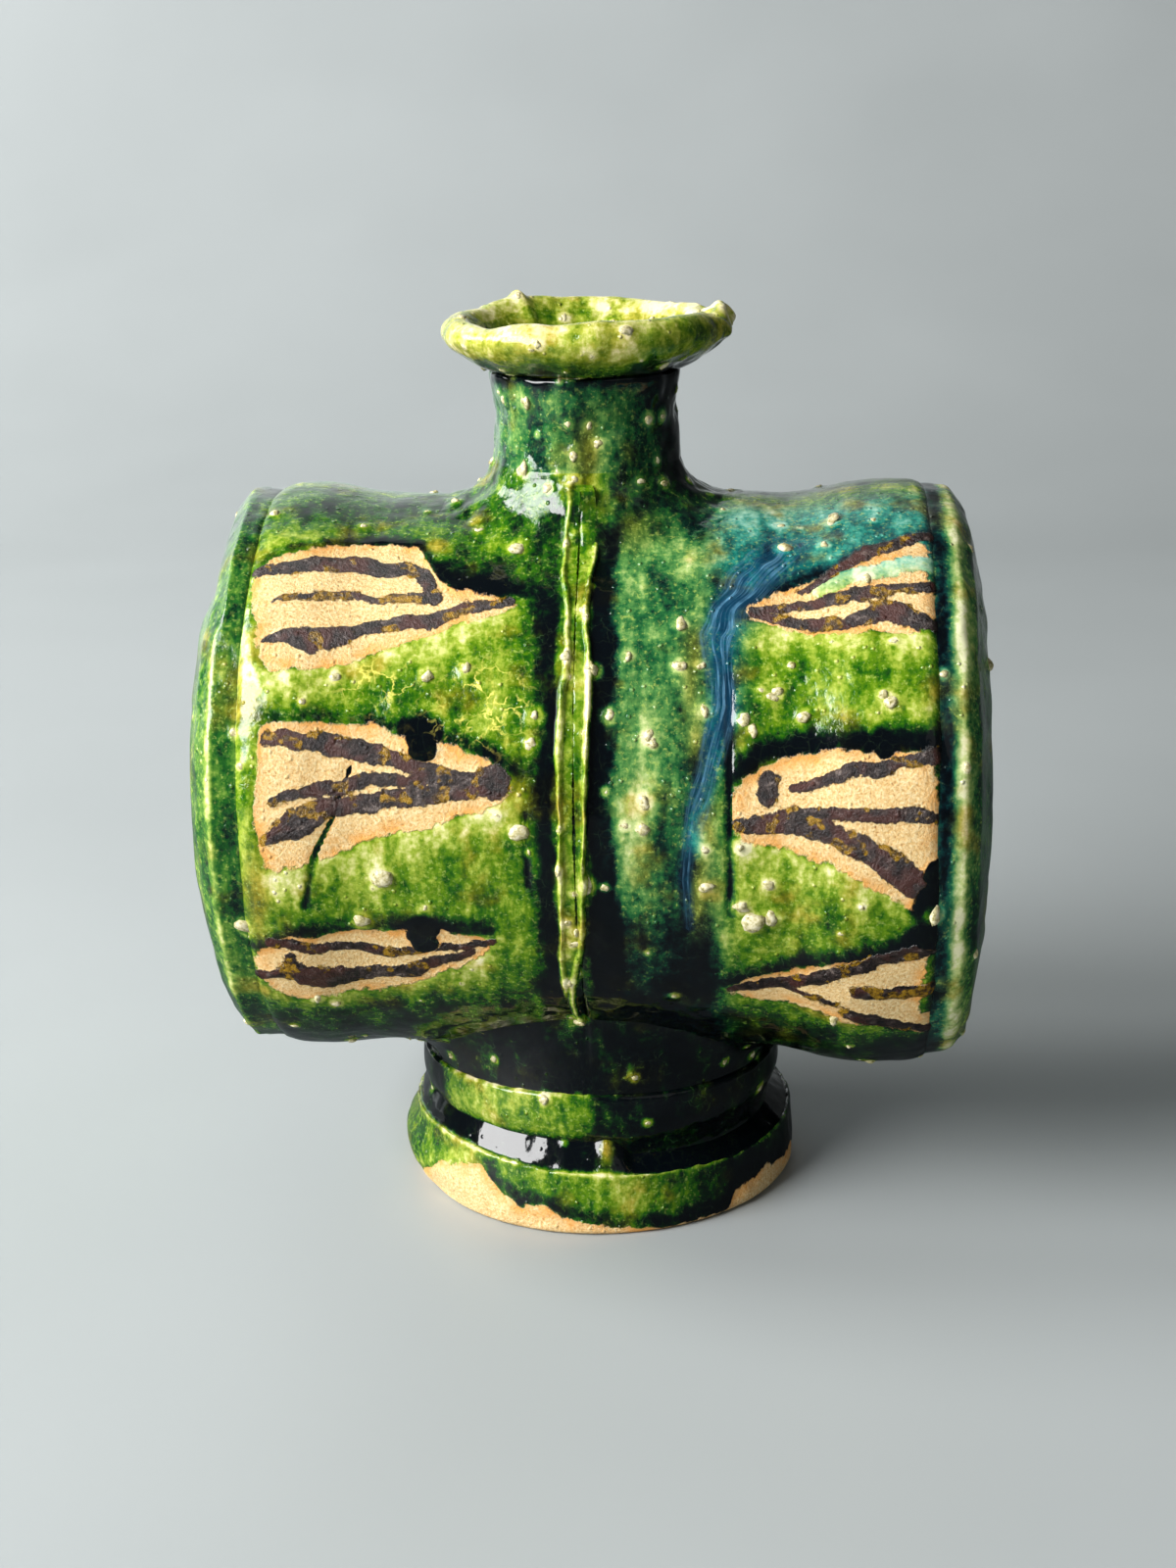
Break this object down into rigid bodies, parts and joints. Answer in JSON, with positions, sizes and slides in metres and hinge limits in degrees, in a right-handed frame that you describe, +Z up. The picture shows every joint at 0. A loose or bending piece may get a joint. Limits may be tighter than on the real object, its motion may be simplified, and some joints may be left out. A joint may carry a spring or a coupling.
{
  "type": "ceramic vase",
  "caption": "Glazed stoneware vase: a waisted drum lying on its side, closed by bevelled end discs, on a stepped round foot, with a short neck and a flared rolled lip for flowers.",
  "frame": {"origin": "middle of the vase's outline seen from above, on the plane that the foot stands on", "axes": "+Z up along the neck, +X along the drum towards its longer half, front faces -Y"},
  "size_m": [0.167, 0.1298, 0.1961],
  "materials": {
    "copper_green_glaze": "glossy crackled copper-green glaze over buff stoneware",
    "pale_rim_glaze": "glossy yellow-green glaze, thin over the lip",
    "bare_clay": "rough unglazed buff stoneware with feldspar grains"
  },
  "bodies": {
    "root": {"foot_ring": "bare_clay", "foot_collar": "copper_green_glaze", "foot_saddle": "copper_green_glaze", "drum_left": "copper_green_glaze", "drum_right": "copper_green_glaze", "end_disc_left": "copper_green_glaze", "end_disc_right": "copper_green_glaze", "seam_rib_front": "copper_green_glaze", "seam_rib_back": "copper_green_glaze", "neck_saddle": "copper_green_glaze", "neck_tube": "copper_green_glaze", "rim_collar": "pale_rim_glaze"}
  },
  "joints": []
}
